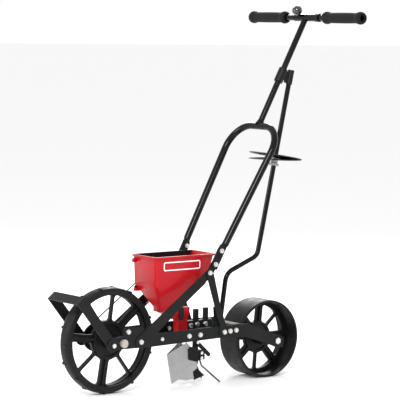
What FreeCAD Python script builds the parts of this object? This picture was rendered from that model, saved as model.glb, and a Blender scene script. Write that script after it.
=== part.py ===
# Walk-behind row seeder, built as separate pieces (millimetres, +Z up).
# Forward is -X, the left side is -Y; X = 0 on the front axle, Z = 0 on the ground.
import FreeCAD, Part
import math
import os

V = FreeCAD.Vector
os.makedirs("parts", exist_ok=True)

# ---- driving dimensions ----
FRONT_R = 165.0            # front wheel radius over the tread
DRUM_R = 125.0             # rear press drum radius
DRUM_HALF = 47.0           # half width of the drum
BASE = 601.0               # wheelbase
AXLE_R = 6.0               # both axles are 12 mm rod
SHAFT_R = 5.0              # the seed plate's shaft is 10 mm rod
RUN = 0.05                 # radial clearance of a running fit
HOLE = 0.2                 # radial clearance of a bolt hole
PLATE = 3.0                # frame plate thickness
Y_FRONT = 82.0             # inner face of the front plates
Y_SIDE = 85.0              # inner face of the side frames
Y_REAR = 88.0              # inner face of the rear plates
Y_FOOT = 91.0              # inner face of the flattened handle feet
LOOP_R = 11.0              # lower handle tube radius
STEM_R = 9.5               # upper handle tube radius
BRACE_R = 8.0              # brace tube radius
WALL = 1.5                 # tube wall
SHOE_SHEET = 2.0           # opener shoe sheet
STEM_LEN = 398.0           # top of the loop to the handle bar, along the stem
KNOB_Y = 24.0              # where the clamp knob stands on the sleeve
KNOB_DIR = V(-0.6, 0.0, 0.8)
FRONT_AXLE = (0.0, FRONT_R)
REAR_AXLE = (BASE, DRUM_R)
STAND_PIVOT = (-36.5, 161.0)
SHAFT = (238.0, 333.0)     # seed plate shaft
TIE_TOP = 191.5            # top of the rear tie, where the brace stands
PULLEY_R = 39.0            # both belt pulleys are the same size
BELT_Y = 67.0              # middle of the belt
MID_X = 315.0              # the middle of the whole length, moved to X = 0 when saving
PIVOT = (65.0, 164.5)      # side frame to front plate
LOBE = (19.0, 199.0)
RAIL_MID = (145.0, 167.0)
RAIL_A = (249.0, 168.0)
RAIL_B = (292.5, 168.5)
CLAMP_SCREWS = [(314.5, 187.0), (340.0, 188.0), (373.0, 188.0)]
REAR_BOLTS = [(386.0, 170.0), (409.0, 171.5), (432.5, 172.5)]
HOPPER_STUD = (300.0, 335.0)
FOOT_BOLTS = [(366.0, 428.0), (343.0, 387.0)]
TOP_BOLT = (325.0, 361.0)
SPOKES_WIDE = [41.0, -8.0, -99.0, 172.0, 125.5]
SPOKES_THIN = [82.0, -53.0, -141.0]


def save(shape, name):
    out = shape.copy()
    out.translate(V(-MID_X, 0, 0))
    out.exportStep("parts/%s.step" % name)


def group(shapes, name):
    save(Part.makeCompound(shapes), name)


def cyl_y(x, z, r, y0, y1):
    lo = min(y0, y1)
    return Part.makeCylinder(r, abs(y1 - y0), V(x, lo, z), V(0, 1, 0))


def tube_y(x, z, r_out, r_in, y0, y1):
    lo, hi = min(y0, y1), max(y0, y1)
    return cyl_y(x, z, r_out, lo, hi).cut(cyl_y(x, z, r_in, lo - 1, hi + 1))


def box(x0, x1, y0, y1, z0, z1):
    return Part.makeBox(x1 - x0, y1 - y0, z1 - z0, V(x0, y0, z0))


def sheet_xz(points, y0, y1):
    """A flat plate: an outline in X and Z, from y0 to y1."""
    lo = min(y0, y1)
    ring = [V(x, lo, z) for x, z in points]
    face = Part.Face(Part.makePolygon(ring + [ring[0]]))
    return face.extrude(V(0, abs(y1 - y0), 0))


def bar_xz(p, q, half_p, half_q, y0, y1):
    """A straight bar between two points with a rounded end at each."""
    dx = q[0] - p[0]
    dz = q[1] - p[1]
    n = math.hypot(dx, dz)
    ux, uz = -dz / n, dx / n
    ring = [(p[0] + ux * half_p, p[1] + uz * half_p), (q[0] + ux * half_q, q[1] + uz * half_q),
            (q[0] - ux * half_q, q[1] - uz * half_q), (p[0] - ux * half_p, p[1] - uz * half_p)]
    out = sheet_xz(ring, y0, y1)
    out = out.fuse(cyl_y(p[0], p[1], half_p, y0, y1))
    return out.fuse(cyl_y(q[0], q[1], half_q, y0, y1))


def both(side, inner, thick):
    """The Y range of a plate on one side (-1 left, +1 right)."""
    return side * inner, side * (inner + thick)


def hexagon(x, z, across, y0, y1):
    r = across / math.sqrt(3.0)
    ring = [(x + r * math.cos(math.radians(a)), z + r * math.sin(math.radians(a)))
            for a in range(30, 390, 60)]
    return sheet_xz(ring, y0, y1)


def bolt_y(p, side, y_head, y_end, d, across, head):
    """A hexagon bolt lying along Y: the head outside y_head, the shank in to y_end."""
    out = hexagon(p[0], p[1], across, side * y_head, side * (y_head + head))
    out = out.fuse(cyl_y(p[0], p[1], d / 2.0, side * y_end, side * (y_head + head * 0.5)))
    return out.removeSplitter()


def nut_y(p, side, y_out, d, across, thick):
    """A hexagon nut whose outer face is at y_out."""
    out = hexagon(p[0], p[1], across, side * (y_out - thick), side * y_out)
    return out.cut(cyl_y(p[0], p[1], d / 2.0 + 0.02, side * (y_out - thick - 1), side * (y_out + 1)))


def drill(shape, points, r):
    for x, z in points:
        shape = shape.cut(cyl_y(x, z, r, -130, 130))
    return shape


def path_wire(points, radii):
    """A wire through the points with a bend of the given radius at each inner one."""
    edges = []
    start = points[0]
    for i in range(1, len(points) - 1):
        a = (points[i - 1] - points[i])
        b = (points[i + 1] - points[i])
        a.normalize()
        b.normalize()
        half = a.getAngle(b) / 2.0
        r = radii[i - 1]
        reach = r / math.tan(half)
        p1 = points[i] + a * reach
        p2 = points[i] + b * reach
        mid = a + b
        mid.normalize()
        pm = points[i] + mid * (r / math.sin(half) - r)
        edges.append(Part.makeLine(start, p1))
        edges.append(Part.Arc(p1, pm, p2).toShape())
        start = p2
    edges.append(Part.makeLine(start, points[-1]))
    return Part.Wire(edges)


def sweep(points, radii, r):
    wire = path_wire(points, radii)
    d = points[1] - points[0]
    ring = Part.Wire(Part.makeCircle(r, points[0], d))
    return wire.makePipeShell([ring], True, True)


def pipe(points, radii, r, wall):
    return sweep(points, radii, r).cut(sweep(points, radii, r - wall))


def ring_profile(c, pairs):
    """A solid of revolution about the Y line through c; pairs are (radius, y)."""
    ring = [V(c[0] + r, y, c[1]) for r, y in pairs]
    face = Part.Face(Part.makePolygon(ring + [ring[0]]))
    return face.revolve(V(c[0], 0, c[1]), V(0, 1, 0), 360)


# ---- wheels ----
def spoke_gaps(turn):
    """The window openings as (start, end, half width at start, half width at end)."""
    marks = [(a + turn, 12.5) for a in SPOKES_WIDE] + [(a + turn, 4.0) for a in SPOKES_THIN]
    marks = sorted([(a % 360.0, h) for a, h in marks])
    out = []
    for i, (a, h) in enumerate(marks):
        b, g = marks[(i + 1) % len(marks)]
        if b < a:
            b += 360.0
        out.append((a, b, h, g))
    return out


def window(c, a, b, ha, hb, r0, r1, y0, y1, fillet):
    """One window between two spokes, with rounded corners."""
    def at(angle, off, r):
        t = math.radians(angle)
        s = math.sqrt(max(r * r - off * off, 1.0))
        return V(c[0] + s * math.cos(t) - off * math.sin(t), y0, c[1] + s * math.sin(t) + off * math.cos(t))
    p1 = at(a, ha, r0)
    p2 = at(a, ha, r1)
    p3 = at(b, -hb, r1)
    p4 = at(b, -hb, r0)
    mid = math.radians((a + b) / 2.0)
    pm1 = V(c[0] + r1 * math.cos(mid), y0, c[1] + r1 * math.sin(mid))
    pm0 = V(c[0] + r0 * math.cos(mid), y0, c[1] + r0 * math.sin(mid))
    wire = Part.Wire([Part.makeLine(p1, p2), Part.Arc(p2, pm1, p3).toShape(),
                      Part.makeLine(p3, p4), Part.Arc(p4, pm0, p1).toShape()])
    body = Part.Face(wire).extrude(V(0, y1 - y0, 0))
    side = [e for e in body.Edges if abs(e.Vertexes[0].Point.x - e.Vertexes[-1].Point.x) < 1e-6
            and abs(e.Vertexes[0].Point.z - e.Vertexes[-1].Point.z) < 1e-6]
    return body.makeFillet(fillet, side)


def front_wheel():
    c = FRONT_AXLE
    rim = [(141, -20), (152, -22), (157, -21), (161, -17), (163.6, -9), (164.0, 0), (163.6, 9),
           (161, 17), (157, 21), (152, 22), (141, 20), (144, 0)]
    wheel = ring_profile(c, rim)
    wheel = wheel.fuse(tube_y(c[0], c[1], 148, 14.0, -6, 6))
    for a, b, ha, hb in spoke_gaps(0.0):
        wheel = wheel.cut(window(c, a, b, ha, hb, 61.0, 140.0, -8, 8, 10.0))
    for side in (-1, 1):
        for a in SPOKES_WIDE:
            t = math.radians(a)
            p = (c[0] + 56 * math.cos(t), c[1] + 56 * math.sin(t))
            q = (c[0] + 143 * math.cos(t), c[1] + 143 * math.sin(t))
            wheel = wheel.fuse(bar_xz(p, q, 4.0, 4.0, side * 5, side * 11))
    wheel = wheel.fuse(tube_y(c[0], c[1], 58, 50, -11, 11))
    wheel = wheel.fuse(tube_y(c[0], c[1], 24, 14.0, -30, 30))
    for i in range(18):
        side = 1 if i % 2 == 0 else -1
        lug = Part.makeBox(6.0, 17.0, 8.0, V(159.5, 1.0, -4.0))
        lug = lug.makeFillet(1.5, [e for e in lug.Edges if abs(e.CenterOfMass.x - 165.5) < 0.1])
        if side < 0:
            lug = lug.mirror(V(0, 0, 0), V(0, 1, 0))
        lug.rotate(V(0, 0, 0), V(0, 1, 0), -(2.0 + 20.0 * i))
        lug.translate(V(c[0], 0, c[1]))
        wheel = wheel.fuse(lug)
    bore = cyl_y(c[0], c[1], 14.0, -31, 31)
    return wheel.cut(bore).removeSplitter()


def rear_drum():
    c = REAR_AXLE
    y0, y1 = 9.0, 19.0
    rim = [(117.5, -47), (123.5, -47), (125.0, -44), (125.0, 44), (123.5, 47), (117.5, 47)]
    drum = ring_profile(c, rim)
    drum = drum.fuse(tube_y(c[0], c[1], 120, 14.0, y0, y1))
    for a, b, ha, hb in spoke_gaps(-41.0):
        drum = drum.cut(window(c, a, b, ha, hb, 52.0, 105.0, y0 - 1, y1 + 1, 7.0))
    for side, near in ((-1, y0), (1, y1)):
        for a in SPOKES_WIDE:
            t = math.radians(a - 41.0)
            p = (c[0] + 48 * math.cos(t), c[1] + 48 * math.sin(t))
            q = (c[0] + 110 * math.cos(t), c[1] + 110 * math.sin(t))
            drum = drum.fuse(bar_xz(p, q, 3.5, 3.5, near - side, near + side * 5))
    drum = drum.fuse(tube_y(c[0], c[1], 50, 43, y0 - 5, y1 + 5))
    drum = drum.fuse(tube_y(c[0], c[1], 22, 14.0, -40, 40))
    drum = drum.cut(cyl_y(c[0], c[1], 14.0, -48, 48))
    return drum.removeSplitter()


def bush(c, side, y_in, y_out, flange):
    """A flanged plain bush pushed into a wheel hub."""
    out = tube_y(c[0], c[1], 14.0, AXLE_R + RUN, side * y_in, side * y_out)
    return out.fuse(tube_y(c[0], c[1], 18.0, AXLE_R + RUN, side * y_out, side * (y_out + flange)))


def pulley(c, y_mid, r, hub, bore):
    """A round belt pulley with a groove."""
    ring = [(bore, y_mid - 6), (hub, y_mid - 6), (hub, y_mid - 4.5), (r + 3, y_mid - 4.5),
            (r + 3, y_mid - 3.5), (r, y_mid - 2.2), (r, y_mid + 2.2), (r + 3, y_mid + 3.5),
            (r + 3, y_mid + 4.5), (hub, y_mid + 4.5), (hub, y_mid + 6), (bore, y_mid + 6)]
    return ring_profile(c, ring)


def belt():
    """The endless belt round the two equal pulleys."""
    dx = SHAFT[0] - FRONT_AXLE[0]
    dz = SHAFT[1] - FRONT_AXLE[1]
    n = math.hypot(dx, dz)
    ux, uz = dx / n, dz / n
    r = PULLEY_R + 2.25

    def pt(c, ax, az, s):
        return V(c[0] + ax * s, BELT_Y, c[1] + az * s)
    a1 = pt(FRONT_AXLE, -uz, ux, r)
    a2 = pt(FRONT_AXLE, uz, -ux, r)
    b1 = pt(SHAFT, -uz, ux, r)
    b2 = pt(SHAFT, uz, -ux, r)
    am = pt(FRONT_AXLE, -ux, -uz, r)
    bm = pt(SHAFT, ux, uz, r)
    wire = Part.Wire([Part.makeLine(a1, b1), Part.Arc(b1, bm, b2).toShape(),
                      Part.makeLine(b2, a2), Part.Arc(a2, am, a1).toShape()])
    ring = Part.Wire(Part.makeCircle(2.0, a1, V(ux, 0, uz)))
    return wire.makePipeShell([ring], True, True)


# ---- frame plates ----
def front_plate(side):
    y0, y1 = both(side, Y_FRONT, PLATE)
    body = sheet_xz([(-36.5, 140), (-16, 147.5), (60, 146.5), (160, 151.5), (160, 184.5), (100, 186),
                     (72, 211.5), (1.5, 212.7), (1.5, 188), (-36.5, 182)], y0, y1)
    body = body.fuse(cyl_y(STAND_PIVOT[0], STAND_PIVOT[1], 21.0, y0, y1))
    body = drill(body, [STAND_PIVOT], 4.0 + HOLE)
    body = drill(body, [LOBE, PIVOT], 4.0 + HOLE)
    body = drill(body, [RAIL_MID], 3.0 + HOLE)
    body = drill(body, [(-26.0, 182.0)], 2.5)
    return drill(body, [FRONT_AXLE], AXLE_R + HOLE).removeSplitter()


def side_frame(side):
    y0, y1 = both(side, Y_SIDE, PLATE)
    rail = sheet_xz([(65, 145.5), (455, 154.0), (455, 191.5), (65, 184.5)], y0, y1)
    body = rail.fuse(cyl_y(PIVOT[0], PIVOT[1], 19.5, y0, y1))
    body = body.fuse(bar_xz(PIVOT, (326.0, 359.5), 19.0, 12.5, y0, y1))
    body = drill(body, [PIVOT, RAIL_A, RAIL_B, TOP_BOLT] + REAR_BOLTS, 4.0 + HOLE)
    return drill(body, [RAIL_MID], 3.0 + HOLE).removeSplitter()


def rear_plate(side):
    y0, y1 = both(side, Y_REAR, PLATE)
    body = sheet_xz([(313, 354), (345, 258), (354, 226), (367.5, 196), (367.5, 156), (413, 152.5),
                     (474, 147), (556, 121), (596, 104.5), (628, 101.5), (631, 133.5), (539, 167.5),
                     (481, 190), (400, 190), (394, 187), (384, 214), (370, 250), (341, 357)], y0, y1)
    body = body.fuse(bar_xz(TOP_BOLT, FOOT_BOLTS[1], 12.5, 12.5, y0, y1))
    body = body.fuse(bar_xz(FOOT_BOLTS[1], FOOT_BOLTS[0], 12.5, 12.5, y0, y1))
    body = drill(body, REAR_BOLTS + FOOT_BOLTS + [TOP_BOLT], 4.0 + HOLE)
    return drill(body, [REAR_AXLE], AXLE_R + HOLE).removeSplitter()


# ---- stand ----
def stand():
    """A U of flat bar: two arms on the pivots and a cross part ahead of the wheel."""
    t = 4.8
    arm = math.radians(129.0)
    c, s = math.cos(arm), math.sin(arm)
    inner = Y_FRONT - 0.3 - t
    outer = Y_FRONT - 0.3
    reach = 186.0
    out = None
    for side in (-1, 1):
        end = (STAND_PIVOT[0] + c * reach, STAND_PIVOT[1] + s * reach)
        ux, uz = -s * 16.0, c * 16.0
        ring = [(STAND_PIVOT[0] + ux, STAND_PIVOT[1] + uz), (end[0] + ux, end[1] + uz),
                (end[0] - ux, end[1] - uz), (STAND_PIVOT[0] - ux, STAND_PIVOT[1] - uz)]
        bar = sheet_xz(ring, side * inner, side * outer)
        bar = bar.fuse(cyl_y(STAND_PIVOT[0], STAND_PIVOT[1], 16.0, side * inner, side * outer))
        out = bar if out is None else out.fuse(bar)
    cross = Part.makeBox(t, 2 * outer, 32.0, V(reach - t, -outer, -16.0))
    cross.rotate(V(0, 0, 0), V(0, 1, 0), -129.0)
    cross.translate(V(STAND_PIVOT[0], 0, STAND_PIVOT[1]))
    out = out.fuse(cross)
    return drill(out, [STAND_PIVOT], 4.0 + RUN).removeSplitter()


# ---- handle ----
def loop_foot(side):
    """The flattened end of the loop tube, from the lower bolt up to the round tube."""
    y0, y1 = both(side, Y_FOOT, 5.0)
    p = FOOT_BOLTS[1]
    q = FOOT_BOLTS[0]
    dx, dz = q[0] - p[0], q[1] - p[1]
    n = math.hypot(dx, dz)
    ux, uz = dx / n, dz / n
    low = (p[0] - ux * 13.0, p[1] - uz * 13.0)
    top = (q[0] + ux * 15.0, q[1] + uz * 15.0)
    h = 13.0
    ring = [(low[0] + uz * h, low[1] - ux * h), (top[0] + uz * h, top[1] - ux * h),
            (top[0] - uz * h, top[1] + ux * h), (low[0] - uz * h, low[1] + ux * h)]
    return sheet_xz(ring, y0, y1), top, (ux, uz)


def handle_loop():
    """The bent U tube, pressed flat at both feet."""
    top_x, top_z = 585.0, 809.0
    half = 121.0
    feet = []
    start = {}
    for side in (-1, 1):
        foot, top, u = loop_foot(side)
        feet.append((side, foot, top))
        start[side] = V(top[0] + u[0] * 9.0, side * 99.0, top[1] + u[1] * 9.0)
    corners = [V(top_x, -half, top_z), V(top_x, half, top_z)]
    out = sweep([start[-1]] + corners + [start[1]], [82.0, 82.0], LOOP_R)
    up = {}
    for side, foot, top in feet:
        d = corners[(side + 1) // 2] - start[side]
        d.normalize()
        up[side] = d
        ring = Part.Wire(Part.makeCircle(LOOP_R, start[side], d, 0, 360))
        n = math.hypot(d.x, d.z)
        across = V(d.z / n, 0, -d.x / n)
        mid = V(top[0] - d.x / n, side * (Y_FOOT + 2.5), top[1] - d.z / n)
        flat = Part.Ellipse(mid + across * 12.8, mid + V(0, 2.45, 0), mid)
        out = out.fuse(Part.makeLoft([ring, Part.Wire(flat.toShape())], True)).fuse(foot)
    ends = [start[s] + up[s] * 6.0 for s in (-1, 1)]
    out = out.cut(sweep([ends[0]] + corners + [ends[1]], [82.0, 82.0], LOOP_R - WALL))
    return drill(out, FOOT_BOLTS, 4.0 + HOLE).removeSplitter()


def stem_point(t):
    """A point on the straight upper handle, t mm up from the top of the loop."""
    a = math.radians(61.4)
    return V(585.0 + t * math.cos(a), 0.0, 809.0 + t * math.sin(a))


BAR = stem_point(STEM_LEN)


def upper_handle():
    """The straight upper tube with a saddle foot and the welded T sleeve."""
    a = stem_point(LOOP_R + 2.0)
    b = stem_point(STEM_LEN)
    d = b - a
    tube = Part.makeCylinder(STEM_R, d.Length, a, d)
    tube = tube.cut(Part.makeCylinder(STEM_R - WALL, d.Length, a + d * 0.02, d))
    foot = Part.makeCone(15.0, STEM_R, 18.0, stem_point(4.0), d)
    tube = tube.fuse(foot)
    tube = tube.cut(Part.makeCylinder(LOOP_R + 0.02, 80.0, V(585.0, -40, 809.0), V(0, 1, 0)))
    sleeve = tube_y(BAR.x, BAR.z, 12.0, 9.5 + HOLE, -50, 50)
    tube = tube.cut(cyl_y(BAR.x, BAR.z, 12.0, -50, 50)).fuse(sleeve)
    tube = tube.cut(Part.makeCylinder(3.0 + RUN, 30.0, V(BAR.x, KNOB_Y, BAR.z), KNOB_DIR))
    return tube.removeSplitter()


def grip(side):
    """A foam grip with a swollen ring at each end."""
    pairs = [(9.5, 93), (13, 93), (18.5, 97), (20.0, 102), (19.0, 107), (17.0, 110), (17.0, 256),
             (19.0, 260), (20.5, 266), (20.0, 272), (17.0, 277), (9.5, 277)]
    pairs = [(r, side * y) for r, y in pairs]
    return ring_profile((BAR.x, BAR.z), pairs)


def brace_points():
    return [V(717, 0, 986), V(588, 0, 392), V(462, 0, 342), V(439, 0, 185)]


def brace():
    tube = pipe(brace_points(), [30.0, 44.0], BRACE_R, WALL)
    return tube.cut(box(400, 500, -20, 20, 100, TIE_TOP + 0.02))


def brace_collar():
    """A clamp that holds the top of the brace to the upper handle."""
    p = stem_point(185.0)
    a = math.radians(61.4)
    axis = V(math.cos(a), 0, math.sin(a))
    body = Part.makeCylinder(14.5, 46.0, p - axis * 23.0, axis)
    arm = box(690, 717, -4, 4, 948, 984)
    top = V(717, 0, 986)
    low = brace_points()[1]
    bd = low - top
    bd.normalize()
    cup = Part.makeCylinder(10.5, 46.0, top - bd * 2.0, bd)
    body = body.fuse(arm).fuse(cup)
    body = body.cut(Part.makeCylinder(STEM_R + 0.05, 80.0, p - axis * 40.0, axis))
    body = body.cut(Part.makeCylinder(BRACE_R + 0.05, 60.0, top, bd))
    return body.removeSplitter()


def knob():
    """The ball knob and its stud, screwed through the sleeve towards the crossbar."""
    base = V(BAR.x, KNOB_Y, BAR.z)
    ball = Part.makeSphere(16.5, base + KNOB_DIR * 28.8)
    stud = Part.makeCylinder(3.0, 16.0, base + KNOB_DIR * 10.2, KNOB_DIR)
    return ball.fuse(stud).removeSplitter()


def brace_at(z):
    """A point on the straight upper run of the brace, at height z."""
    return V(717.0 + (z - 986.0) * 129.0 / 594.0, 0.0, z)


def plate_stop():
    """The clip on the brace that the spare plates rest on."""
    d = V(129.0, 0, 594.0)
    d.normalize()
    p = brace_at(680.0)
    body = Part.makeCylinder(16.0, 8.0, p, d).fuse(Part.makeCylinder(11.0, 26.0, p, d))
    return body.cut(Part.makeCylinder(BRACE_R + 0.05, 80.0, p - d * 30, d)).removeSplitter()


def spare_plate(tilt, z):
    """A thin seed plate with a middle hole, hung on the brace."""
    d = Part.makeCylinder(86.0, 2.6, V(0, 0, -1.3))
    d = d.cut(Part.makeCylinder(13.5, 5.0, V(0, 0, -2.5)))
    for i in range(12):
        a = math.radians(30.0 * i)
        d = d.cut(Part.makeCylinder(3.5, 5.0, V(78 * math.cos(a), 78 * math.sin(a), -2.5)))
    d.rotate(V(0, 0, 0), V(0, 1, 0), tilt)
    d.translate(V(brace_at(z).x, 0, z))
    return d


# ---- hopper ----
def rect(z, x0, x1, y0, y1):
    ring = [V(x0, y0, z), V(x1, y0, z), V(x1, y1, z), V(x0, y1, z)]
    return Part.makePolygon(ring + [ring[0]])


def funnel(grow, z_top, z_low):
    """The hopper body: a box that tapers to the outlet; grow widens it all round."""
    g = grow
    upper = Part.makeLoft([rect(323, 152 - g, 339 + g, -58 - g, 58 + g),
                           rect(z_top, 147 - g, 368 + g, -58 - g, 58 + g)], True, True)
    lower = Part.makeLoft([rect(z_low, 196 - g, 284 + g, -19 - g, 19 + g),
                           rect(323, 152 - g, 339 + g, -58 - g, 58 + g)], True, True)
    return upper.fuse(lower)


def hopper():
    """The red hopper: near, front and rear walls, a tapered bottom and an open far side."""
    out = funnel(0.0, 415.0, 250.0)
    out = out.fuse(box(143.5, 371.5, -61.5, 58, 411, 415))
    out = out.fuse(box(196, 284, -19, 19, 238, 252))
    for x, z in [(141, 397), (149, 306)]:
        out = out.fuse(box(x - 6, x + 22, 44, 58, z - 6, z + 6))
    inner = funnel(-2.5, 416.0, 250.0)
    out = out.cut(inner)
    far = inner.copy()
    far.translate(V(0, 8, 0))
    out = out.cut(far.common(box(100, 400, 30, 80, 326, 420)))
    out = out.cut(box(198.5, 281.5, -16.5, 16.5, 230, 256))
    out = out.cut(box(149.4, 365.4, -55.5, 60, 410, 420))
    out = out.cut(cyl_y(SHAFT[0], SHAFT[1], 13.3, 40, 70))
    out = drill(out, [HOPPER_STUD], 3.0 + HOLE)
    out = out.cut(cyl_y(141, 397, 2.2, 43, 60))
    out = out.cut(cyl_y(149, 306, 2.2, 43, 60))
    return out.removeSplitter()


def back_plate():
    """The black plate that closes the far side of the hopper and carries the shaft."""
    ring = [(135, 392), (135, 403), (146.5, 404), (146.5, 417), (368.5, 417), (340, 327),
            (336, 318), (160, 299), (143, 300), (143, 313), (150, 322), (147.5, 392)]
    body = sheet_xz(ring, 58.0, 60.5)
    body = body.fuse(tube_y(SHAFT[0], SHAFT[1], 13.0, 5.0 + RUN, 50.0, 60.5))
    body = body.cut(cyl_y(SHAFT[0], SHAFT[1], 5.0 + RUN, 40, 70))
    body = drill(body, [HOPPER_STUD], 3.0 + HOLE)
    for x, z in [(141, 397), (149, 306)]:
        body = body.cut(cyl_y(x, z, 2.4, 40, 70))
    return body.removeSplitter()


def hopper_stud(side, y_in):
    """A stud welded inside a diagonal, with a blind threaded hole for the hopper screw."""
    stud = cyl_y(HOPPER_STUD[0], HOPPER_STUD[1], 7.0, side * y_in, side * Y_SIDE)
    return stud.cut(cyl_y(HOPPER_STUD[0], HOPPER_STUD[1], 3.02, side * (y_in - 1), side * 76.0))


def hopper_screw(side, y_wall):
    """A screw whose round head bears on the hopper wall from inside."""
    head = cyl_y(HOPPER_STUD[0], HOPPER_STUD[1], 5.5, side * (y_wall - 3.0), side * y_wall)
    return head.fuse(cyl_y(HOPPER_STUD[0], HOPPER_STUD[1], 3.0, side * (y_wall - 1.0), side * 74.0))


def seed_plate():
    body = tube_y(SHAFT[0], SHAFT[1], 68.0, SHAFT_R + RUN, -1.5, 1.5)
    body = body.fuse(tube_y(SHAFT[0], SHAFT[1], 14.0, SHAFT_R + RUN, -6, 6))
    for i in range(12):
        a = math.radians(30.0 * i)
        body = body.cut(cyl_y(SHAFT[0] + 61 * math.cos(a), SHAFT[1] + 61 * math.sin(a), 3.5, -3, 3))
    return body.removeSplitter()


def chute():
    """The red seed chute under the hopper outlet."""
    out_foot = rect(164, 265, 298, -13, 13)
    out_waist = rect(206, 262, 298, -14, 14)
    out_rim = rect(238, 194, 300, -22, 22)
    in_foot = rect(163.9, 267.5, 295.5, -10.5, 10.5)
    in_waist = rect(206, 264.5, 295.5, -11.5, 11.5)
    in_rim = rect(237.9, 197.5, 282.5, -17.0, 17.0)
    outer = Part.makeLoft([out_foot, out_waist], True, True)
    outer = outer.fuse(Part.makeLoft([out_waist, out_rim], True, True))
    outer = outer.fuse(box(194, 300, -22, 22, 238, 248))
    inner = Part.makeLoft([in_foot, in_waist], True, True)
    inner = inner.fuse(Part.makeLoft([in_waist, in_rim], True, True))
    inner = inner.fuse(box(196, 284, -19, 19, 237.9, 250))
    return outer.cut(inner).removeSplitter()


def chute_clip():
    """The black strap on the near face of the chute."""
    body = box(258, 276, -24.5, -22.05, 216, 247)
    return body.fuse(cyl_y(267, 216, 9.0, -24.5, -22.05)).removeSplitter()


def cross_block():
    """The bar across the rails that clamps the opener shank and the rear shank."""
    body = box(326, 374, -85, 85, 172, 180).fuse(box(303, 396, -9.5, 9.5, 172, 201))
    for x in (341.0, 380.0):
        body = body.cut(box(x - 8.2, x + 8.2, -5.2, 5.2, 160, 210))
    for x, z in CLAMP_SCREWS:
        body = body.cut(cyl_y(x, z, 4.0 + HOLE, -30, -5.0))
    return body.removeSplitter()


def rear_tie():
    """The flat tie between the side frames that the foot of the brace stands on."""
    return box(420, 455, -85, 85, TIE_TOP - 5.0, TIE_TOP)


def side_bracket():
    """The small bracket inside the left rail: an upright tab with a plate on its near face."""
    tab = sheet_xz([(344, 180), (376, 180), (376, 216), (362, 254), (350, 250), (353, 221), (344, 219)], -76.5, -79.0)
    return tab.fuse(box(355, 376, -81.7, -79.0, 180, 217)).removeSplitter()


def cross_bar():
    """The bar between the rails ahead of the opener."""
    body = box(240, 303, -85, 85, 154, 159)
    body = body.fuse(box(240, 303, -85, -79, 154, 180)).fuse(box(240, 303, 79, 85, 154, 180))
    body = body.cut(box(262, 300.5, -15.5, 15.5, 150, 170))
    return drill(body, [RAIL_A, RAIL_B], 4.0 + HOLE).removeSplitter()


def shank():
    body = box(333, 349, -5, 5, 60, 236)
    for z in (84.0, 100.0, 131.0):
        body = body.cut(cyl_y(341.0, z, 3.0 + HOLE, -10, 10))
    return body


def swung(body, side):
    """Swings a sheet out about the shoe's leading edge, to the left or the right."""
    body.rotate(V(230, 0, 100), V(20.0, 0, -95.0), -13.5)
    return body if side > 0 else body.mirror(V(0, 0, 0), V(0, 1, 0))


def shoe():
    """The folded opener shoe: two sheets that part from one leading edge."""
    ring = [(230, 100), (296, 136), (310, 121), (333, 75), (334, 51), (320, 41), (325, 18),
            (298, 14), (272, 18), (250, 5)]
    halves = [swung(sheet_xz(ring, 0, SHOE_SHEET), s) for s in (-1, 1)]
    return halves[0].fuse(halves[1]).removeSplitter()


def shoe_block():
    """The black clamp behind the shoe, with a lug on the outside of each sheet."""
    body = box(334, 355, -32, 32, 78, 106)
    ring = [(303, 80), (300, 114), (308, 121), (330, 121), (336, 106), (340.5, 104), (340.5, 80), (334, 72)]
    for s in (-1, 1):
        body = body.fuse(swung(sheet_xz(ring, SHOE_SHEET + RUN, SHOE_SHEET + 4.0), s))
    body = body.cut(box(332.8, 349.2, -5.2, 5.2, 60, 130))
    return drill(body, [(341.0, 84.0), (341.0, 100.0)], 3.0 + HOLE).removeSplitter()


def soil_flap():
    """The dark flap under the shank that drops soil back over the seed."""
    return sheet_xz([(333, 59.9), (349, 59.9), (349, 46), (379, 20), (337, 9), (327, 30)], -1.5, 1.5)


def tine():
    """The bent arm on the near face of the opener shank."""
    body = bar_xz((316, 150), (341, 131), 6.0, 6.0, -11, -5.1)
    body = body.fuse(bar_xz((341, 131), (388, 88), 6.0, 6.0, -11, -5.1))
    return drill(body, [(341.0, 131.0)], 3.0 + HOLE).removeSplitter()


def drag_rod(side):
    """One of the two thin rods that sweep soil over the row."""
    pts = [V(352, side * 8, 77), V(356, side * 14, 56), V(404, side * 48, 4)]
    return sweep(pts, [14.0], 2.5)


# ---- bolts, nuts and rods ----
def stand_bolt(side):
    """A pivot bolt: a thin round head inside the arm and the thread outside the plate."""
    head = cyl_y(STAND_PIVOT[0], STAND_PIVOT[1], 8.0, side * 73.6, side * 76.6)
    return head.fuse(cyl_y(STAND_PIVOT[0], STAND_PIVOT[1], 4.0, side * 76.0, side * 91.5)).removeSplitter()


def cap_nut(c, side, y_face):
    cap = cyl_y(c[0], c[1], 13.0, side * y_face, side * (y_face + 9.0))
    cap = cap.fuse(cyl_y(c[0], c[1], 9.0, side * (y_face + 9.0), side * (y_face + 12.0)))
    return cap.cut(cyl_y(c[0], c[1], AXLE_R + 0.02, side * (y_face - 5), side * (y_face + 10.0)))


def rod_y(c, r, y0, y1):
    return cyl_y(c[0], c[1], r, y0, y1)


def drive_pulley():
    body = pulley(FRONT_AXLE, BELT_Y, PULLEY_R, 20.0, AXLE_R + RUN)
    body = body.fuse(tube_y(0, FRONT_R, 22.0, AXLE_R + RUN, 33.0, 61.0))
    body = body.fuse(tube_y(0, FRONT_R, 22.0, 18.1, 30.0, 33.5))
    return body.removeSplitter()


def screws(points, y_head, y_end, d, across, head):
    """The same bolt on both sides of the machine at each point."""
    return [bolt_y(p, s, y_head, y_end, d, across, head) for p in points for s in (-1, 1)]


def nuts(points, y_out, d, across, thick):
    return [nut_y(p, s, y_out, d, across, thick) for p in points for s in (-1, 1)]


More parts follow.
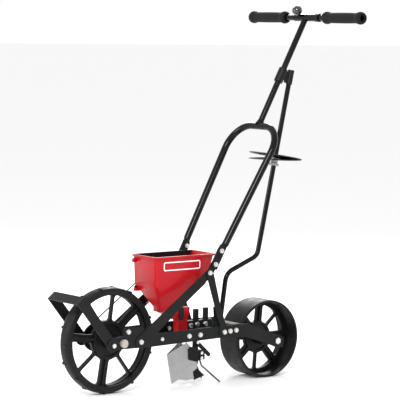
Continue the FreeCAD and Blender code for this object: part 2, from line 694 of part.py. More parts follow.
# ---- build and save ----
save(front_wheel(), "front_wheel")
group([bush(FRONT_AXLE, s, 12.0, 30.0, 3.0) for s in (-1, 1)], "front_wheel_bushes")
save(rod_y(FRONT_AXLE, AXLE_R, -95.0, 95.0), "front_axle")
group([tube_y(0, FRONT_R, 9.0, AXLE_R + 0.1, -33.3, -81.9),
       tube_y(0, FRONT_R, 9.0, AXLE_R + 0.1, 73.6, 81.9)], "front_axle_spacers")
group([cap_nut(FRONT_AXLE, s, 85.0) for s in (-1, 1)], "front_axle_caps")
save(drive_pulley(), "drive_pulley")
save(rear_drum(), "rear_drum")
group([bush(REAR_AXLE, s, 20.0, 40.0, 3.0) for s in (-1, 1)], "rear_drum_bushes")
save(rod_y(REAR_AXLE, AXLE_R, -98.0, 98.0), "rear_axle")
group([tube_y(BASE, DRUM_R, 9.0, AXLE_R + 0.1, s * 43.3, s * 87.9) for s in (-1, 1)], "rear_axle_spacers")
group(nuts([REAR_AXLE], 98.0, AXLE_R * 2, 19.0, 7.0), "rear_axle_nuts")
for s, tag in ((-1, "left"), (1, "right")):
    save(front_plate(s), "front_plate_" + tag)
    save(side_frame(s), "side_frame_" + tag)
    save(rear_plate(s), "rear_plate_" + tag)
    save(grip(s), "grip_" + tag)
save(stand(), "stand")
group([stand_bolt(s) for s in (-1, 1)], "stand_bolts")
group(nuts([STAND_PIVOT], 91.5, 8.0, 13.0, 6.5), "stand_nuts")
group(screws([LOBE], 85.0, 72.0, 8.0, 13.0, 5.3) + screws([PIVOT], 88.0, 72.0, 8.0, 13.0, 5.3)
      + screws([RAIL_A, RAIL_B], 88.0, 70.0, 8.0, 13.0, 5.3)
      + screws(REAR_BOLTS + [TOP_BOLT], 91.0, 76.0, 8.0, 13.0, 5.3), "frame_bolts")
group(nuts([LOBE, PIVOT], 81.9, 8.0, 13.0, 6.5) + nuts([RAIL_A, RAIL_B], 78.9, 8.0, 13.0, 6.5)
      + nuts(REAR_BOLTS + [TOP_BOLT], 84.9, 8.0, 13.0, 6.5), "frame_nuts")
group(screws([RAIL_MID], 88.0, 76.0, 6.0, 10.0, 4.0), "small_bolts")
group(nuts([RAIL_MID], 81.9, 6.0, 10.0, 5.0), "small_nuts")
group(screws(FOOT_BOLTS, 96.0, 79.0, 8.0, 13.0, 5.3), "handle_foot_bolts")
group(nuts(FOOT_BOLTS, 87.9, 8.0, 13.0, 6.5), "handle_foot_nuts")
save(handle_loop(), "handle_loop")
save(upper_handle(), "upper_handle")
save(tube_y(BAR.x, BAR.z, 9.5, 8.0, -272.0, 272.0), "crossbar")
save(tube_y(BAR.x, BAR.z, 13.5, 9.5 + 0.05, -69.0, -52.0), "crossbar_ring")
save(knob(), "clamp_knob")
save(brace(), "brace_tube")
save(brace_collar(), "brace_collar")
save(plate_stop(), "plate_stop")
group([spare_plate(10.0, 712.0), spare_plate(2.0, 702.0)], "spare_seed_plates")
save(hopper(), "hopper")
save(back_plate(), "hopper_back_plate")
group([hopper_stud(s, y) for s, y in ((-1, 58.0), (1, 60.5))], "hopper_studs")
group([hopper_screw(s, y) for s, y in ((-1, 55.5), (1, 58.0))], "hopper_screws")
save(seed_plate(), "seed_plate")
save(rod_y(SHAFT, SHAFT_R, -10.0, 77.0), "seed_shaft")
save(pulley(SHAFT, BELT_Y, PULLEY_R, 16.0, SHAFT_R + RUN), "driven_pulley")
save(belt(), "drive_belt")
save(chute(), "seed_chute")
save(chute_clip(), "chute_clip")
save(cross_block(), "cross_block")
group([bolt_y(p, -1, 9.5, 6.0, 8.0, 13.0, 6.0) for p in CLAMP_SCREWS], "clamp_screws")
save(cross_bar(), "cross_bar")
save(rear_tie(), "rear_tie")
save(side_bracket(), "side_bracket")
save(shank(), "opener_shank")
save(shoe(), "opener_shoe")
save(shoe_block(), "opener_block")
save(soil_flap(), "soil_flap")
group([bolt_y((341.0, z), -1, 32.0, -32.0, 6.0, 10.0, 4.0) for z in (84.0, 100.0)] +
      [bolt_y((341.0, 131.0), -1, 11.0, -9.0, 6.0, 10.0, 4.0)], "opener_bolts")
save(box(372, 388, -5, 5, 160, 238), "rear_shank")
save(tine(), "trailing_arm")
group([drag_rod(s) for s in (-1, 1)], "drag_rods")
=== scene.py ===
"""Walk-behind row seeder: the looks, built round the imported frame, in metres."""
import math
import bpy
import bmesh
from mathutils import Matrix, Vector


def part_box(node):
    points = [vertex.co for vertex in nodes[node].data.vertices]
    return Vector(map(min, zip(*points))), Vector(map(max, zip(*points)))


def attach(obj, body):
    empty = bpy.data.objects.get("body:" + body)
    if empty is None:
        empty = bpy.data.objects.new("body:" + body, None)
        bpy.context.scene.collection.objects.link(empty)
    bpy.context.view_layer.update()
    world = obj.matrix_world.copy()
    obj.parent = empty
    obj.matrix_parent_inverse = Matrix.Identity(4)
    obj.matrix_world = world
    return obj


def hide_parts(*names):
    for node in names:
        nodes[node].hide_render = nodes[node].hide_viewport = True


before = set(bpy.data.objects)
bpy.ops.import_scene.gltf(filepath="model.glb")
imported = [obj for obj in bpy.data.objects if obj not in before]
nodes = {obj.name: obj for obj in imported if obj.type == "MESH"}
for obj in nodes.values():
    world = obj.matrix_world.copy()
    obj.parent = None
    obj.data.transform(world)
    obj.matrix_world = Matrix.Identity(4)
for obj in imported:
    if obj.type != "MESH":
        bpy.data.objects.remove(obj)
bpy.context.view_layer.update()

# ---- Camera, floor and light ----
# A long lens stands low on the left of the machine and looks along it from the front.
# Everything stands on one pale floor under large soft lamps.
LENS_MM = 185.657
TURN = math.radians(-37.7099)
DROP = math.radians(4.903)
ROLL = math.radians(0.8372)
ahead = Vector((-math.sin(TURN) * math.cos(DROP), math.cos(TURN) * math.cos(DROP), -math.sin(DROP)))
right = Vector((math.cos(TURN), math.sin(TURN), 0.0))
up = right.cross(ahead)
cam_x = right * math.cos(ROLL) + up * math.sin(ROLL)
cam_y = up * math.cos(ROLL) - right * math.sin(ROLL)
camera_data = bpy.data.cameras.new("camera")
camera_data.lens = LENS_MM
camera_data.sensor_width = 36.0
camera = bpy.data.objects.new("camera", camera_data)
bpy.context.scene.collection.objects.link(camera)
pose = Matrix((cam_x, cam_y, -ahead)).transposed().to_4x4()
pose.translation = Vector((-3.9223, -5.1204, 1.1361))
camera.matrix_world = pose
bpy.context.scene.camera = camera


def add_mesh(name, verts, faces):
    mesh = bpy.data.meshes.new(name)
    mesh.from_pydata(verts, [], faces)
    obj = bpy.data.objects.new(name, mesh)
    bpy.context.scene.collection.objects.link(obj)
    return obj


def soft_lamp(name, place, aim, size, watts):
    lamp = bpy.data.lights.new(name, "AREA")
    lamp.shape = "SQUARE"
    lamp.size = size
    lamp.energy = watts
    obj = bpy.data.objects.new(name, lamp)
    obj.location = place
    obj.rotation_euler = (Vector(aim) - Vector(place)).to_track_quat("-Z", "Y").to_euler()
    bpy.context.scene.collection.objects.link(obj)


FLOOR = 80.0
floor = add_mesh("floor", [(-FLOOR, -FLOOR, 0), (FLOOR, -FLOOR, 0), (FLOOR, FLOOR, 0), (-FLOOR, FLOOR, 0)],
                 [(0, 1, 2, 3)])
MIDDLE = (0.0, 0.0, 0.5)
soft_lamp("key", (-2.6, -2.4, 3.0), MIDDLE, 1.3, 120.0)
soft_lamp("front", (-3.4, 1.2, 1.6), MIDDLE, 0.9, 40.0)
soft_lamp("back", (2.2, 2.6, 2.4), MIDDLE, 1.3, 80.0)
world = bpy.data.worlds.new("room")
world.use_nodes = True
world.node_tree.nodes["Background"].inputs["Color"].default_value = (1.0, 1.0, 1.0, 1.0)
world.node_tree.nodes["Background"].inputs["Strength"].default_value = 1.0
bpy.context.scene.world = world
bpy.context.scene.view_settings.view_transform = "Standard"


# ---- Black powder-coated steel: plates, tubes, shanks and brackets ----
# Flat bar, sheet and tube, welded, then baked in satin black powder. The coat has a fine
# orange peel, goes a little grey where it is handled, and shows small pale rubs.
class Finish:
    """One material with its nodes; each method adds one kind of detail."""

    def __init__(self, name, colour, rough, metal=0.0):
        self.mat = bpy.data.materials.new(name)
        self.mat.use_nodes = True
        self.tree = self.mat.node_tree
        self.shader = self.tree.nodes["Principled BSDF"]
        self.shader.inputs["Base Color"].default_value = (*colour, 1.0)
        self.shader.inputs["Roughness"].default_value = rough
        self.shader.inputs["Metallic"].default_value = metal
        self.place = self.tree.nodes.new("ShaderNodeTexCoord").outputs["Object"]
        self.colour = None
        self.height = None

    def set(self, **values):
        for key, value in values.items():
            self.shader.inputs[key.replace("_", " ")].default_value = value

    def noise(self, scale, detail=4.0, rough=0.55, stretch=(1.0, 1.0, 1.0)):
        mapping = self.tree.nodes.new("ShaderNodeMapping")
        mapping.inputs["Scale"].default_value = stretch
        self.tree.links.new(self.place, mapping.inputs["Vector"])
        node = self.tree.nodes.new("ShaderNodeTexNoise")
        node.inputs["Scale"].default_value = scale
        node.inputs["Detail"].default_value = detail
        node.inputs["Roughness"].default_value = rough
        self.tree.links.new(mapping.outputs["Vector"], node.inputs["Vector"])
        return node.outputs["Fac"]

    def cells(self, scale):
        """Distance to the nearest point of a random scatter."""
        node = self.tree.nodes.new("ShaderNodeTexVoronoi")
        node.inputs["Scale"].default_value = scale
        self.tree.links.new(self.place, node.inputs["Vector"])
        return node.outputs["Distance"]

    def ramp(self, value, low, high, from_value=0.0, to_value=1.0):
        node = self.tree.nodes.new("ShaderNodeMapRange")
        node.inputs["From Min"].default_value = low
        node.inputs["From Max"].default_value = high
        node.inputs["To Min"].default_value = from_value
        node.inputs["To Max"].default_value = to_value
        self.tree.links.new(value, node.inputs["Value"])
        return node.outputs["Result"]

    def tint(self, value, colour):
        """Mixes another colour in where value is high."""
        mix = self.tree.nodes.new("ShaderNodeMix")
        mix.data_type = "RGBA"
        if self.colour is None:
            mix.inputs["A"].default_value = self.shader.inputs["Base Color"].default_value
        else:
            self.tree.links.new(self.colour, mix.inputs["A"])
        mix.inputs["B"].default_value = (*colour, 1.0)
        self.tree.links.new(value, mix.inputs["Factor"])
        self.colour = mix.outputs["Result"]
        self.tree.links.new(self.colour, self.shader.inputs["Base Color"])

    def roughness(self, value, low, high):
        self.tree.links.new(self.ramp(value, 0.3, 0.7, low, high), self.shader.inputs["Roughness"])

    def bump(self, value, depth, strength=1.0):
        node = self.tree.nodes.new("ShaderNodeBump")
        node.inputs["Distance"].default_value = depth
        node.inputs["Strength"].default_value = strength
        self.tree.links.new(value, node.inputs["Height"])
        if self.height is not None:
            self.tree.links.new(self.height, node.inputs["Normal"])
        self.height = node.outputs["Normal"]
        self.tree.links.new(self.height, self.shader.inputs["Normal"])


def wear(finish, colour, amount, scale=35.0):
    """Small pale rubs where a broad noise and a fine noise both run high."""
    broad = finish.ramp(finish.noise(scale), 0.66 - amount, 0.74 - amount)
    fine = finish.ramp(finish.noise(scale * 14.0, 6.0, 0.7), 0.5, 0.62)
    both = finish.tree.nodes.new("ShaderNodeMath")
    both.operation = "MULTIPLY"
    finish.tree.links.new(broad, both.inputs[0])
    finish.tree.links.new(fine, both.inputs[1])
    finish.tint(both.outputs["Value"], colour)


def dress(node, finish):
    mesh = nodes[node].data
    mesh.materials.clear()
    mesh.materials.append(finish.mat)


plate_coat = Finish("plate_coat", (0.006, 0.0065, 0.007), 0.45)
plate_coat.set(Specular_IOR_Level=0.14, Coat_Weight=0.04, Coat_Roughness=0.3)
plate_coat.tint(plate_coat.ramp(plate_coat.noise(9.0), 0.35, 0.7), (0.01, 0.0105, 0.011))
wear(plate_coat, (0.045, 0.045, 0.044), 0.0)
plate_coat.roughness(plate_coat.noise(60.0), 0.4, 0.56)
plate_coat.bump(plate_coat.noise(1100.0, 2.0), 0.00025)

tube_coat = Finish("tube_coat", (0.002, 0.002, 0.0022), 0.16)
tube_coat.set(Specular_IOR_Level=0.14, Coat_Weight=0.12, Coat_Roughness=0.06)
tube_coat.tint(tube_coat.ramp(tube_coat.noise(12.0), 0.45, 0.8), (0.006, 0.006, 0.0063))
wear(tube_coat, (0.02, 0.02, 0.019), -0.06)
tube_coat.roughness(tube_coat.noise(45.0), 0.12, 0.2)
tube_coat.bump(tube_coat.noise(160.0, 2.0), 0.00008, 0.25)


def finished(obj, node, body, slot, finish, *modifiers):
    """Applies the modifiers to a new piece and lets it stand for a CAD node."""
    for kind, values in modifiers:
        mod = obj.modifiers.new(kind.lower(), kind)
        for key, value in values.items():
            setattr(mod, key, value)
    graph = bpy.context.evaluated_depsgraph_get()
    mesh = bpy.data.meshes.new_from_object(obj.evaluated_get(graph))
    obj.modifiers.clear()
    obj.data = mesh
    mesh.materials.clear()
    mesh.materials.append(finish.mat)
    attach(obj, body)
    if node:
        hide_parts(node)


def easing(width, angle):
    """A two-step bevel on every edge sharper than the angle, in degrees."""
    return "BEVEL", {"width": width, "segments": 2, "limit_method": "ANGLE",
                     "angle_limit": math.radians(angle)}


def face_out(obj, smooth=False, near=None):
    """Turns the faces of a new mesh outward; on an open sheet, near picks a face that looks to -Y."""
    obj.data.polygons.foreach_set("use_smooth", [smooth] * len(obj.data.polygons))
    mesh = bmesh.new()
    mesh.from_mesh(obj.data)
    bmesh.ops.recalc_face_normals(mesh, faces=mesh.faces)
    if near and min(mesh.faces, key=near).normal.y > 0:
        bmesh.ops.reverse_faces(mesh, faces=mesh.faces)
    mesh.to_mesh(obj.data)
    mesh.free()


def welded(node):
    """The mesh of a CAD piece with its doubled corners joined."""
    mesh = bmesh.new()
    mesh.from_mesh(nodes[node].data)
    bmesh.ops.remove_doubles(mesh, verts=mesh.verts, dist=1e-6)
    return mesh


def softened(node, body, slot, finish, width):
    """A copy of a CAD piece with its sharp edges eased, standing for the piece."""
    mesh = welded(node)
    bmesh.ops.dissolve_limit(mesh, angle_limit=math.radians(1.0), verts=mesh.verts, edges=mesh.edges)
    data = bpy.data.meshes.new(node + "_soft")
    mesh.to_mesh(data)
    mesh.free()
    obj = bpy.data.objects.new(node + "_soft", data)
    bpy.context.scene.collection.objects.link(obj)
    obj.matrix_world = nodes[node].matrix_world
    finished(obj, node, body, slot, finish, easing(width, 40))
    obj.data.polygons.foreach_set("use_smooth", [False] * len(obj.data.polygons))


PLATES = ["front_plate_left", "front_plate_right", "side_frame_left", "side_frame_right", "rear_plate_left",
          "rear_plate_right", "stand", "cross_block", "cross_bar", "rear_tie", "side_bracket", "opener_shank",
          "rear_shank", "trailing_arm", "opener_block", "soil_flap"]
BODY_OF = {"stand": "stand", "opener_shank": "opener", "trailing_arm": "opener", "opener_block": "opener",
           "soil_flap": "opener", "rear_shank": "rear_shank"}
EASE = 0.0006     # how far the sharp edges of a plate are worn back
for name in PLATES:
    softened(name, BODY_OF.get(name, "frame"), "black_paint", plate_coat, EASE)
for name in ("handle_loop", "upper_handle", "crossbar", "brace_tube"):
    dress(name, tube_coat)


# ---- Wheels ----
# Both wheels are moulded black plastic. The surface is matt with faint flow marks, and dust
# has settled in the grain.
wheel_plastic = Finish("wheel_plastic", (0.004, 0.0042, 0.0044), 0.42)
wheel_plastic.set(Specular_IOR_Level=0.2)
wheel_plastic.tint(wheel_plastic.ramp(wheel_plastic.noise(14.0, 5.0), 0.4, 0.75), (0.007, 0.007, 0.0073))
dust = wheel_plastic.ramp(wheel_plastic.noise(160.0, 6.0, 0.7), 0.62, 0.8)
wheel_plastic.tint(dust, (0.018, 0.0175, 0.017))
wheel_plastic.roughness(wheel_plastic.noise(30.0, 5.0), 0.36, 0.58)
wheel_plastic.bump(wheel_plastic.noise(700.0, 3.0), 0.0003)
wheel_plastic.bump(wheel_plastic.noise(26.0, 3.0), 0.0012, 0.5)
for name in ("front_wheel", "rear_drum"):
    dress(name, wheel_plastic)


# ---- Small black plastic pieces ----
# Pulleys, bushes, the seed plate, clips and collars: moulded, even and half matt, with a
# little grey bloom.
small_plastic = Finish("small_plastic", (0.005, 0.005, 0.0052), 0.4)
small_plastic.set(Specular_IOR_Level=0.2)
small_plastic.tint(small_plastic.ramp(small_plastic.noise(70.0), 0.5, 0.8), (0.011, 0.011, 0.011))
small_plastic.roughness(small_plastic.noise(90.0), 0.34, 0.5)
small_plastic.bump(small_plastic.noise(900.0, 3.0), 0.0002)
for name in ("front_wheel_bushes", "rear_drum_bushes", "drive_pulley", "driven_pulley", "seed_plate",
             "hopper_back_plate", "chute_clip", "crossbar_ring", "brace_collar"):
    dress(name, small_plastic)


# ---- Spare seed plates ----
# Two thin moulded plates hang on the brace. They are greyer and more worn than the rest,
# and the stop that holds them is a pale grey moulding.
plate_plastic = Finish("plate_plastic", (0.03, 0.031, 0.032), 0.36)
plate_plastic.tint(plate_plastic.ramp(plate_plastic.noise(22.0), 0.45, 0.7), (0.06, 0.061, 0.062))
plate_plastic.roughness(plate_plastic.noise(80.0), 0.3, 0.5)
plate_plastic.bump(plate_plastic.noise(600.0, 3.0), 0.0002)
dress("spare_seed_plates", plate_plastic)

stop_grey = Finish("stop_grey", (0.42, 0.42, 0.41), 0.4)
stop_grey.tint(stop_grey.ramp(stop_grey.noise(60.0), 0.4, 0.7), (0.3, 0.3, 0.29))
stop_grey.bump(stop_grey.noise(500.0, 3.0), 0.0002)
dress("plate_stop", stop_grey)


# ---- Hopper and chute ----
# Red moulded plastic, smooth and slightly glossy, with a faint ripple from the mould and fine
# scratches round the mouth.
hopper_red = Finish("hopper_red", (0.4, 0.004, 0.009), 0.3)
hopper_red.set(Coat_Weight=0.1, Coat_Roughness=0.12, Specular_IOR_Level=0.16)
hopper_red.tint(hopper_red.ramp(hopper_red.noise(7.0), 0.35, 0.75), (0.46, 0.006, 0.012))
scratches = hopper_red.noise(240.0, 5.0, 0.7, (1.0, 1.0, 0.2))
hopper_red.tint(hopper_red.ramp(scratches, 0.68, 0.9), (0.5, 0.03, 0.032))
hopper_red.roughness(hopper_red.noise(40.0), 0.26, 0.4)
hopper_red.bump(hopper_red.noise(500.0, 2.0), 0.00015)
hopper_red.bump(hopper_red.noise(18.0, 2.0), 0.001, 0.35)
dress("seed_chute", hopper_red)


def u_ring(z, x0, x1, y0, y1, r, steps=6):
    """Round the hopper from the far front edge, past both near corners, to the far rear edge."""
    out = [(x0, y1, z)]
    for cx, cy, start in ((x0 + r, y0 + r, 180.0), (x1 - r, y0 + r, 270.0)):
        for k in range(steps + 1):
            a = math.radians(start + 90.0 * k / steps)
            out.append((cx + r * math.cos(a), cy + r * math.sin(a), z))
    out.append((x1, y1, z))
    return out


low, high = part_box("hopper")
LIP = 0.0035               # how far the rim turns out
LIP_FALL = 0.0045          # how far the turned rim hangs down
TOP_GAP = 0.001            # sheet edge below the top of the rim
CREASE_FALL = 0.092        # where the walls start to close in
SPOUT_TALL = 0.014         # the straight spout at the foot
SPOUT_X = (0.049, 0.137)   # the spout, from the front of the mouth
SPOUT_HALF = 0.019
SHEET = 0.0025             # wall thickness
WALL_EASE = 0.0009
CORNERS = (0.012, 0.012, 0.010, 0.009, 0.005, 0.005)   # corner radius of each ring, rim to foot
mouth = (low.x + LIP, high.x - LIP, low.y + LIP, high.y)
lip = (low.x, high.x, low.y, high.y)
waist = (mouth[0] + 0.005, mouth[1] - 0.029, mouth[2], high.y)
spout = (mouth[0] + SPOUT_X[0], mouth[0] + SPOUT_X[1], -SPOUT_HALF, SPOUT_HALF)
levels = ((high.z - LIP_FALL, lip), (high.z - TOP_GAP, lip), (high.z - TOP_GAP, mouth),
          (high.z - CREASE_FALL, waist), (low.z + SPOUT_TALL, spout), (low.z, spout))
rings = [u_ring(z, *plan, r) for (z, plan), r in zip(levels, CORNERS)]
OPEN_RINGS = 3             # above the crease the far side is open, below it the sheet goes all round
per = len(rings[0])
verts = [p for ring in rings for p in ring]
faces = []
for k in range(len(rings) - 1):
    a, b = k * per, (k + 1) * per
    faces += [(a + i, a + i + 1, b + i + 1, b + i) for i in range(per - 1)]
    if k >= OPEN_RINGS:
        faces.append((a + per - 1, a, b, b + per - 1))
shell = add_mesh("hopper_shell", verts, faces)
NEAR_WALL_Z = 0.37


def near_wall(face):
    """Lowest for the face in the middle of the near wall."""
    middle = face.calc_center_median()
    return middle.y + abs(middle.z - NEAR_WALL_Z)


face_out(shell, True, near_wall)
finished(shell, "hopper", "frame", "hopper_red", hopper_red,
         ("SOLIDIFY", {"thickness": SHEET, "offset": -1.0, "use_even_offset": True}), easing(WALL_EASE, 35))

# Two small lugs stand on the front edge, one under the rim and one below the crease.
LUG = (0.023, 0.012, 0.010)
LUG_ROUND = 0.002
for k, (back, fall) in enumerate(((-0.0085, 0.018), (-0.0005, 0.109))):
    place = (mouth[0] + back + 0.5 * LUG[0], high.y - 0.5 * LUG[1], high.z - fall)
    lug = add_mesh("hopper_lug_%d" % k, [], [])
    mesh = bmesh.new()
    bmesh.ops.create_cube(mesh, size=1.0)
    bmesh.ops.scale(mesh, vec=LUG, verts=mesh.verts)
    bmesh.ops.bevel(mesh, geom=mesh.edges[:], offset=LUG_ROUND, segments=3, affect="EDGES")
    bmesh.ops.translate(mesh, vec=place, verts=mesh.verts)
    mesh.to_mesh(lug.data)
    mesh.free()
    finished(lug, None, "frame", "hopper_red", hopper_red)


# ---- Label on the hopper ----
# A plain white outline stuck on the near wall, with no words in it. The white has thin
# spots where the wall shows through.
label_paint = Finish("label_paint", (0.86, 0.86, 0.86), 0.4)
label_paint.tint(label_paint.ramp(label_paint.noise(300.0, 5.0, 0.7), 0.62, 0.75), (0.7, 0.6, 0.6))
label_paint.bump(label_paint.noise(800.0), 0.00005)
LABEL_X = (low.x + 0.0345, low.x + 0.176)
LABEL_Z = (high.z - 0.043, high.z - 0.0155)


def round_box(grow, r, y, steps=6):
    """The label's outline, grown by so much, with rounded corners."""
    x0, x1, z0, z1 = LABEL_X[0] - grow, LABEL_X[1] + grow, LABEL_Z[0] - grow, LABEL_Z[1] + grow
    corners = ((x1 - r, z1 - r, 0.0), (x0 + r, z1 - r, 90.0), (x0 + r, z0 + r, 180.0),
               (x1 - r, z0 + r, 270.0))
    out = []
    for cx, cz, start in corners:
        for k in range(steps + 1):
            a = math.radians(start + 90.0 * k / steps)
            out.append((cx + r * math.cos(a), y, cz + r * math.sin(a)))
    return out


BAND = 0.0035              # width of the white line
LABEL_LIFT = 0.0002        # how far it stands off the wall
LABEL_THICK = 0.0005
outer = round_box(0.0, 0.006, mouth[2] - LABEL_LIFT)
inner = round_box(-BAND, 0.003, mouth[2] - LABEL_LIFT)
n = len(outer)
label = add_mesh("hopper_label", outer + inner, [(i, (i + 1) % n, n + (i + 1) % n, n + i) for i in range(n)])
face_out(label, False, lambda face: face.index)
finished(label, None, "frame", "hopper_red", label_paint,
         ("SOLIDIFY", {"thickness": LABEL_THICK, "offset": 1.0}))


# ---- Belt ----
# A round rubber belt, matt, with a little chalky bloom. It runs from the front wheel hub to
# the seed plate's shaft.
belt_rubber = Finish("belt_rubber", (0.012, 0.012, 0.012), 0.7)
belt_rubber.tint(belt_rubber.ramp(belt_rubber.noise(120.0, 5.0), 0.5, 0.75), (0.035, 0.035, 0.034))
belt_rubber.roughness(belt_rubber.noise(200.0), 0.6, 0.8)
belt_rubber.bump(belt_rubber.noise(900.0), 0.0002)
dress("drive_belt", belt_rubber)


# ---- Bright steel: bolts, nuts, axles and rods ----
# Zinc-plated steel with fine turning marks and a faintly mottled sheen. Bolts get a
# chamfered head and a washer; nuts and axles keep their own shape.
zinc = Finish("zinc", (0.72, 0.72, 0.7), 0.28, 1.0)
zinc.tint(zinc.ramp(zinc.noise(150.0), 0.4, 0.7), (0.55, 0.55, 0.52))
zinc.roughness(zinc.noise(400.0, 5.0), 0.2, 0.38)
zinc.bump(zinc.noise(1500.0, 3.0), 0.0001)
for name in ("front_axle", "front_axle_spacers", "rear_axle", "rear_axle_spacers", "rear_axle_nuts",
             "stand_bolts", "stand_nuts", "frame_nuts", "small_nuts", "handle_foot_nuts", "hopper_studs",
             "hopper_screws", "seed_shaft", "opener_bolts"):
    dress(name, zinc)


def islands(node):
    """The box of each separate solid in a node."""
    mesh = welded(node)
    left = set(mesh.verts)
    out = []
    while left:
        stack = [left.pop()]
        group = []
        while stack:
            v = stack.pop()
            group.append(v.co.copy())
            for edge in v.link_edges:
                w = edge.other_vert(v)
                if w in left:
                    left.remove(w)
                    stack.append(w)
        out.append((Vector([min(c[i] for c in group) for i in range(3)]),
                    Vector([max(c[i] for c in group) for i in range(3)])))
    mesh.free()
    return sorted(out, key=lambda b: (round(b[0].y, 4), round(b[0].x, 4), round(b[0].z, 4)))


def bolt_tree():
    """Hexagon head with a chamfer and a washer, and a shank, at each point."""
    tree = bpy.data.node_groups.new("hexagon_bolts", "GeometryNodeTree")
    face = tree.interface
    face.new_socket("Geometry", in_out="INPUT", socket_type="NodeSocketGeometry")
    for name in ("Across", "Head", "Washer", "Shank"):
        face.new_socket(name, in_out="INPUT", socket_type="NodeSocketFloat")
    face.new_socket("Finish", in_out="INPUT", socket_type="NodeSocketMaterial")
    face.new_socket("Geometry", in_out="OUTPUT", socket_type="NodeSocketGeometry")
    new, link = tree.nodes.new, tree.links.new
    start = new("NodeGroupInput")
    end = new("NodeGroupOutput")

    def maths(op, a, b=None):
        node = new("ShaderNodeMath")
        node.operation = op
        for socket, value in zip(node.inputs, (a, b)):
            if isinstance(value, float):
                socket.default_value = value
            elif value is not None:
                link(value, socket)
        return node.outputs[0]

    def prism(kind, sides, depth, low_at, **radii):
        node = new(kind)
        node.inputs["Vertices"].default_value = sides
        for key, value in radii.items():
            link(value, node.inputs[key.replace("_", " ")])
        link(depth, node.inputs["Depth"])
        move = new("GeometryNodeTransform")
        at = new("ShaderNodeCombineXYZ")
        link(low_at, at.inputs["Z"])
        link(at.outputs[0], move.inputs["Translation"])
        link(node.outputs["Mesh"], move.inputs["Geometry"])
        return move.outputs[0]

    across, head, washer, shank = (start.outputs[n] for n in ("Across", "Head", "Washer", "Shank"))
    corner = maths("MULTIPLY", across, 1.0 / math.sqrt(3.0))
    flat = maths("MULTIPLY", across, 0.47)
    body_depth = maths("MULTIPLY", head, 0.84)
    cap_depth = maths("MULTIPLY", head, 0.16)
    disc = prism("GeometryNodeMeshCylinder", 28, washer, maths("MULTIPLY", washer, 0.5),
                 Radius=maths("MULTIPLY", across, 0.6))
    hexa = prism("GeometryNodeMeshCylinder", 6, body_depth,
                 maths("ADD", washer, maths("MULTIPLY", body_depth, 0.5)), Radius=corner)
    cap = prism("GeometryNodeMeshCone", 6, cap_depth, maths("ADD", washer, body_depth),
                Radius_Top=flat, Radius_Bottom=corner)
    heads = new("GeometryNodeJoinGeometry")
    for part in (disc, hexa, cap):
        link(part, heads.inputs[0])
    rod = new("GeometryNodeMeshCylinder")
    rod.inputs["Vertices"].default_value = 20
    rod.inputs["Depth"].default_value = 1.0
    link(shank, rod.inputs["Radius"])
    drop = new("GeometryNodeTransform")
    drop.inputs["Translation"].default_value = (0.0, 0.0, -0.5)
    link(rod.outputs["Mesh"], drop.inputs["Geometry"])
    out_way = new("GeometryNodeInputNamedAttribute")
    out_way.data_type = "FLOAT_VECTOR"
    out_way.inputs["Name"].default_value = "out"
    reach = new("GeometryNodeInputNamedAttribute")
    reach.data_type = "FLOAT"
    reach.inputs["Name"].default_value = "reach"
    turn = new("FunctionNodeAlignRotationToVector")
    turn.axis = "Z"
    link(out_way.outputs["Attribute"], turn.inputs["Vector"])
    stretch = new("ShaderNodeCombineXYZ")
    stretch.inputs["X"].default_value = 1.0
    stretch.inputs["Y"].default_value = 1.0
    link(reach.outputs["Attribute"], stretch.inputs["Z"])
    both = new("GeometryNodeJoinGeometry")
    for source, scale in ((heads.outputs[0], None), (drop.outputs[0], stretch.outputs[0])):
        place = new("GeometryNodeInstanceOnPoints")
        link(start.outputs["Geometry"], place.inputs["Points"])
        link(source, place.inputs["Instance"])
        link(turn.outputs["Rotation"], place.inputs["Rotation"])
        if scale is not None:
            link(scale, place.inputs["Scale"])
        link(place.outputs["Instances"], both.inputs[0])
    real = new("GeometryNodeRealizeInstances")
    link(both.outputs[0], real.inputs[0])
    paint = new("GeometryNodeSetMaterial")
    link(real.outputs[0], paint.inputs["Geometry"])
    link(start.outputs["Finish"], paint.inputs["Material"])
    link(paint.outputs[0], end.inputs[0])
    return tree


def run_tree(obj, tree, values):
    """Runs a tree on an object and keeps the plain mesh that it makes."""
    mod = obj.modifiers.new("made", "NODES")
    mod.node_group = tree
    for item in tree.interface.items_tree:
        if item.in_out == "INPUT" and item.name in values:
            mod[item.identifier] = values[item.name]
    graph = bpy.context.evaluated_depsgraph_get()
    mesh = bpy.data.meshes.new_from_object(obj.evaluated_get(graph))
    obj.modifiers.clear()
    obj.data = mesh


BOLTS = bolt_tree()
MM = 0.001
WASHER = 1.2
# across the flats, height of head with washer, and thread radius, in millimetres
for node, across, head, radius in (("frame_bolts", 13.0, 5.3, 4.0), ("handle_foot_bolts", 13.0, 5.3, 4.0),
                                   ("small_bolts", 10.0, 4.0, 3.0), ("clamp_screws", 13.0, 6.0, 4.0)):
    spots, outs, reaches = [], [], []
    for lo, hi in islands(node):
        side = -1.0 if lo.y + hi.y < 0 else 1.0
        tip = (lo.y if side < 0 else hi.y) - side * head * MM
        spots.append(((lo.x + hi.x) / 2, tip, (lo.z + hi.z) / 2))
        outs += (0.0, side, 0.0)
        reaches.append(hi.y - lo.y - head * MM)
    bolts = add_mesh(node + "_made", spots, [])
    bolts.data.attributes.new("out", "FLOAT_VECTOR", "POINT").data.foreach_set("vector", outs)
    bolts.data.attributes.new("reach", "FLOAT", "POINT").data.foreach_set("value", reaches)
    run_tree(bolts, BOLTS, {"Across": across * MM, "Head": (head - WASHER) * MM, "Washer": WASHER * MM,
                            "Shank": radius * MM, "Finish": zinc.mat})
    finished(bolts, node, "frame", "zinc_steel", zinc)


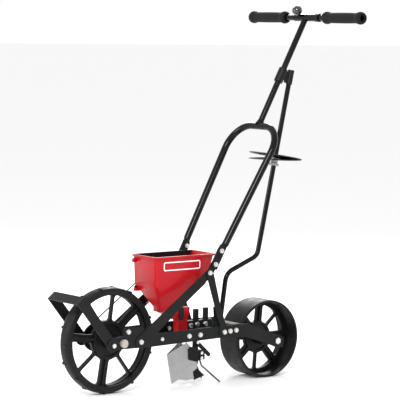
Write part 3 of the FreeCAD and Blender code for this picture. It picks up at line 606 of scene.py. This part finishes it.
# ---- Drag rods ----
# Dark sprung wire, browned by soil, with a dull shine.
rod_steel = Finish("rod_steel", (0.01, 0.01, 0.0105), 0.35)
rod_steel.tint(rod_steel.ramp(rod_steel.noise(60.0), 0.45, 0.7), (0.03, 0.029, 0.028))
rod_steel.roughness(rod_steel.noise(120.0), 0.3, 0.5)
rod_steel.bump(rod_steel.noise(900.0), 0.0001)
dress("drag_rods", rod_steel)


# ---- Opener shoe ----
# Folded galvanised sheet: dull pale grey with large soft spangles and rub marks from soil.
galvanised = Finish("galvanised", (0.34, 0.345, 0.34), 0.45, 0.4)
galvanised.tint(galvanised.ramp(galvanised.cells(110.0), 0.1, 0.7), (0.37, 0.375, 0.37))
galvanised.tint(galvanised.ramp(galvanised.noise(30.0, 5.0), 0.55, 0.85), (0.3, 0.31, 0.32))
galvanised.roughness(galvanised.cells(70.0), 0.34, 0.5)
galvanised.bump(galvanised.noise(500.0), 0.00015)
dress("opener_shoe", galvanised)


# ---- Grips ----
# Closed-cell foam rubber pushed on to the bar: fine pores, a soft sheen and no shine.
foam = Finish("foam", (0.007, 0.007, 0.0072), 0.8)
foam.set(Sheen_Weight=0.03, Sheen_Roughness=0.6, Specular_IOR_Level=0.12)
foam.tint(foam.ramp(foam.noise(300.0, 5.0, 0.7), 0.45, 0.7), (0.014, 0.014, 0.014))
foam.bump(foam.cells(900.0), 0.0005, 0.8)
foam.bump(foam.noise(60.0, 3.0), 0.0008, 0.4)
# Distance along the grip and radius, both as parts of the whole: both ends swell.
GRIP = [(0.0, 0.70), (0.012, 0.84), (0.035, 0.95), (0.07, 1.0), (0.105, 0.95), (0.135, 0.85), (0.17, 0.80),
        (0.3, 0.83), (0.5, 0.845), (0.7, 0.83), (0.83, 0.80), (0.865, 0.85), (0.895, 0.95), (0.93, 1.0),
        (0.965, 0.96), (0.99, 0.85), (1.0, 0.72)]
AROUND = 72
BORE = 0.0097
for side in ("left", "right"):
    low_g, high_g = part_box("grip_" + side)
    centre = (low_g + high_g) * 0.5
    big = 0.5 * (high_g.x - low_g.x)
    sign = -1.0 if side == "left" else 1.0
    inner_y = high_g.y if side == "left" else low_g.y
    length = (high_g.y - low_g.y) * sign
    profile = [(BORE, 0.0)] + [(big * r, t) for t, r in GRIP] + [(BORE, 1.0)]
    verts = []
    for r, t in profile:
        for k in range(AROUND):
            a = 2.0 * math.pi * k / AROUND
            verts.append((centre.x + r * math.cos(a), inner_y + length * t, centre.z + r * math.sin(a)))
    rows = len(profile)
    faces = []
    for i in range(rows):
        j = (i + 1) % rows
        for k in range(AROUND):
            m = (k + 1) % AROUND
            faces.append((i * AROUND + k, i * AROUND + m, j * AROUND + m, j * AROUND + k))
    grip = add_mesh("foam_grip_" + side, verts, faces)
    face_out(grip, True)
    finished(grip, "grip_" + side, "frame", "grip_foam", foam,
             ("SUBSURF", {"levels": 2, "render_levels": 2, "subdivision_type": "CATMULL_CLARK"}))


# ---- Ball knob ----
# Polished black ball, with fine handling scratches. It is the shiniest piece on the
# machine.
ball_black = Finish("ball_black", (0.004, 0.004, 0.004), 0.1)
ball_black.set(Coat_Weight=1.0, Coat_Roughness=0.06)
ball_black.tint(ball_black.ramp(ball_black.noise(90.0, 6.0), 0.6, 0.8), (0.02, 0.02, 0.02))
ball_black.roughness(ball_black.noise(240.0, 6.0), 0.08, 0.2)
dress("clamp_knob", ball_black)


# ---- Front axle caps ----
# Pale beige plated caps, dull and a little mottled. They stand at the ends of the front
# axle.
cap_beige = Finish("cap_beige", (0.5, 0.47, 0.41), 0.35, 0.6)
cap_beige.tint(cap_beige.ramp(cap_beige.noise(90.0), 0.4, 0.7), (0.36, 0.34, 0.3))
cap_beige.bump(cap_beige.noise(600.0, 3.0), 0.0002)
dress("front_axle_caps", cap_beige)


# ---- Floor finish ----
# Plain pale ground, the same all over.
ground = Finish("ground", (0.93, 0.93, 0.93), 0.9)
floor.data.materials.append(ground.mat)
